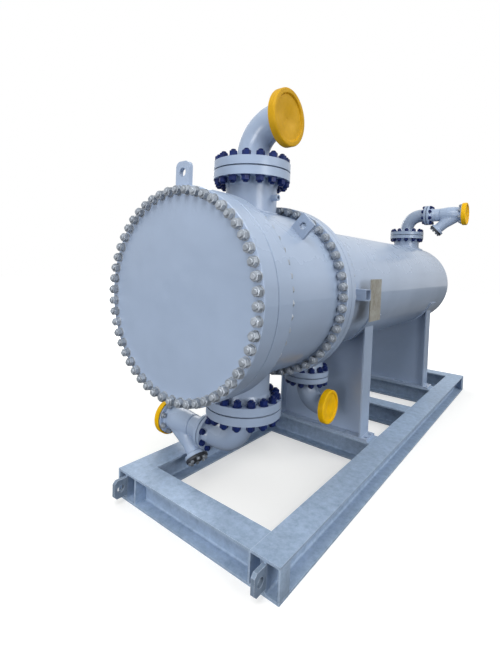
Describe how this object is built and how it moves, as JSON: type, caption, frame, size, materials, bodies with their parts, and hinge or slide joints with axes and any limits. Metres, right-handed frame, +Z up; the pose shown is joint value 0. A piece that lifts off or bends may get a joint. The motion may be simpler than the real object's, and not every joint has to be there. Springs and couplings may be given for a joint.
{
  "type": "shell and tube heat exchanger",
  "caption": "Horizontal shell and tube heat exchanger: bolted flat channel cover, flanged nozzles with elbows, Y strainers, yellow flange protectors, saddles and a galvanised beam skid.",
  "frame": {"origin": "on the ground below the web of the front saddle, in the middle of the skid's width", "axes": "+X to the right of the skid as seen from the channel cover, +Y along the vessel from the cover to the rear head, +Z up"},
  "size_m": [1.555, 4.92, 2.835],
  "materials": {
    "vessel_paint": "satin",
    "cast_paint": "satin over cast surface",
    "galvanised_steel": "hot dip galvanised, mottled",
    "yellow_plastic": "moulded",
    "gasket": "matt",
    "bare_plate": "weathered"
  },
  "bodies": {
    "root": {"channel_barrel": "vessel_paint", "channel_bottom_elbow": "vessel_paint", "channel_bottom_nozzle": "vessel_paint", "channel_bottom_protector": "yellow_plastic", "channel_cover": "vessel_paint", "channel_front_flange": "vessel_paint", "channel_lugs": "vessel_paint", "channel_rear_flange": "vessel_paint", "channel_strainer": "cast_paint", "channel_top_elbow": "vessel_paint", "channel_top_nozzle": "vessel_paint", "channel_top_protector": "yellow_plastic", "cover_gasket": "gasket", "cover_lifting_lug": "vessel_paint", "end_stiffeners": "galvanised_steel", "front_end_beam": "galvanised_steel", "front_saddle": "vessel_paint", "front_saddle_beam": "galvanised_steel", "middle_beam": "galvanised_steel", "nameplate_backing": "bare_plate", "nameplate_bracket": "vessel_paint", "pipe_gaskets": "gasket", "rear_end_beam": "galvanised_steel", "rear_head": "vessel_paint", "rear_saddle": "vessel_paint", "rear_saddle_beam": "galvanised_steel", "saddle_pads": "vessel_paint", "shell": "vessel_paint", "shell_bottom_elbow": "vessel_paint", "shell_bottom_nozzle": "vessel_paint", "shell_bottom_protector": "yellow_plastic", "shell_nozzle_pads": "vessel_paint", "shell_strainer": "cast_paint", "shell_top_elbow": "vessel_paint", "shell_top_nozzle": "vessel_paint", "shell_top_protector": "yellow_plastic", "skid_beam_left": "galvanised_steel", "skid_beam_right": "galvanised_steel", "strainer_covers": "cast_paint", "tie_lugs": "galvanised_steel", "tubesheet": "vessel_paint", "tubesheet_gasket": "gasket"}
  },
  "joints": []
}
